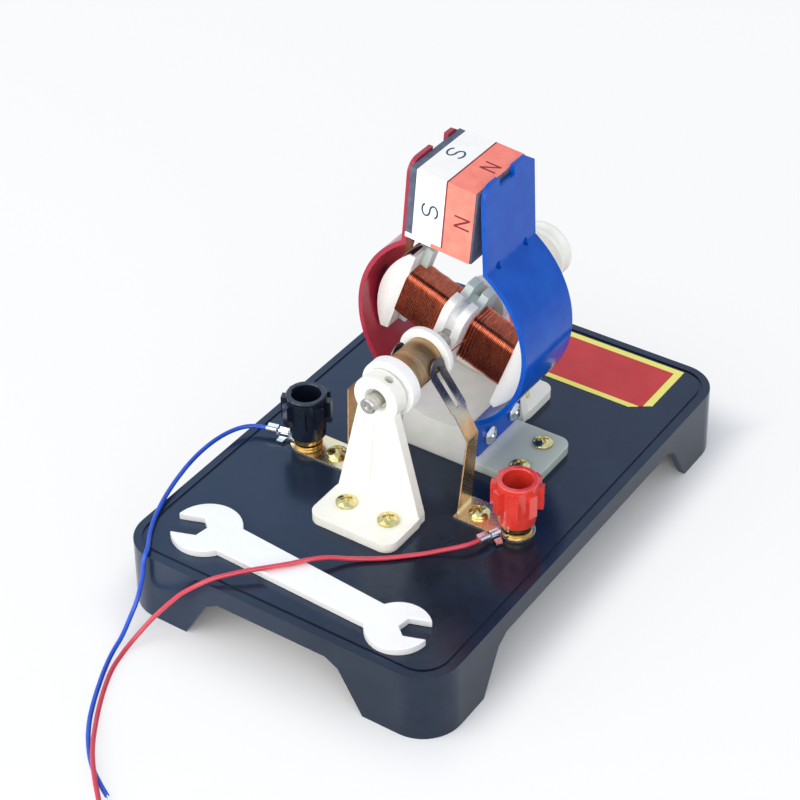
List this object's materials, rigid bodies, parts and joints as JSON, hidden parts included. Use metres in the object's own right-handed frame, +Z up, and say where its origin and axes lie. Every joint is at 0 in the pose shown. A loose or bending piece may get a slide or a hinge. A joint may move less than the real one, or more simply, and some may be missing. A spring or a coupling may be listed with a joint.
{
  "type": "demonstration direct current motor",
  "caption": "Open demonstration motor: wound armature between painted pole plates under a block magnet, on a black tray with binding posts, leads and a spanner.",
  "frame": {"origin": "centre of the tray's outline on the floor", "axes": "+X across the tray, towards the blue pole plate and red binding post; +Y along the shaft, towards the pulley; +Z up"},
  "size_m": [0.1145, 0.233, 0.1204],
  "materials": {
    "tray_plastic": "moulded satin black",
    "printed_plate": "printed red with a yellow border, bare of lettering",
    "ivory_plastic": "moulded satin",
    "yellow_zinc": "yellow zinc plate",
    "mount_plastic": "moulded, slightly cloudy",
    "red_enamel": "gloss enamel on sheet steel",
    "blue_enamel": "gloss enamel on sheet steel",
    "bright_screw": "polished plate",
    "ferrite": "ground matt",
    "white_paper": "plain paper",
    "orange_paper": "plain paper",
    "shaft_steel": "turned",
    "white_plastic": "moulded",
    "shell_brass": "brushed and a little tarnished",
    "core_iron": "dark oxide",
    "clouded_plastic": "moulded, slightly cloudy",
    "enamelled_copper": "lacquered copper wire",
    "cream_plastic": "moulded",
    "brush_bronze": "polished strip",
    "stud_brass": "bright",
    "red_plastic": "clear-toned gloss",
    "black_plastic": "gloss",
    "tinned_copper": "bright tin",
    "red_pvc": "soft gloss",
    "blue_pvc": "soft gloss",
    "plated_steel": "nickel plate"
  },
  "bodies": {
    "stand": {"base_tray": "tray_plastic", "name_plate": "printed_plate", "front_bracket": "ivory_plastic", "rear_bracket": "ivory_plastic", "bracket_screws": "yellow_zinc", "stator_mount": "mount_plastic", "mount_screws": "yellow_zinc", "red_pole_plate": "red_enamel", "blue_pole_plate": "blue_enamel", "pole_screws": "bright_screw", "left_brush": "brush_bronze", "right_brush": "brush_bronze", "brush_screws": "yellow_zinc", "terminal_studs": "stud_brass", "terminal_washers": "stud_brass", "red_lug": "tinned_copper", "blue_lug": "tinned_copper", "red_lead": "red_pvc", "blue_lead": "blue_pvc"},
    "rotor": {"shaft": "shaft_steel", "commutator_sleeve": "white_plastic", "upper_shell": "shell_brass", "lower_shell": "shell_brass", "armature_core": "core_iron", "front_frame": "white_plastic", "rear_frame": "clouded_plastic", "left_coil": "enamelled_copper", "right_coil": "enamelled_copper", "rear_pulley": "cream_plastic"},
    "bar_magnet": {"magnet": "ferrite", "south_paper": "white_paper", "north_paper": "orange_paper"},
    "red_terminal": {"red_cap": "red_plastic"},
    "black_terminal": {"black_cap": "black_plastic"},
    "open_spanner": {"spanner": "plated_steel"}
  },
  "joints": [
    {"name": "rotor_spin", "type": "hinge", "parent": "stand", "child": "rotor", "pos_m": [0, 0, 0.06275], "axis": [0, 1, 0], "continuous": true},
    {"name": "magnet_slide", "type": "slide", "parent": "stand", "child": "bar_magnet", "axis": [0, -1, 0], "range_m": [0, 0.03]},
    {"name": "red_cap_turn", "type": "hinge", "parent": "stand", "child": "red_terminal", "pos_m": [0.0387, -0.0152, 0.03], "axis": [0, 0, 1], "range_deg": [0, 1080]},
    {"name": "black_cap_turn", "type": "hinge", "parent": "stand", "child": "black_terminal", "pos_m": [-0.0355, -0.0152, 0.03], "axis": [0, 0, 1], "range_deg": [0, 1080]},
    {"name": "spanner_slide", "type": "slide", "parent": "stand", "child": "open_spanner", "axis": [0.9983, -0.0576, 0], "range_m": [-0.004, 0.008]}
  ]
}
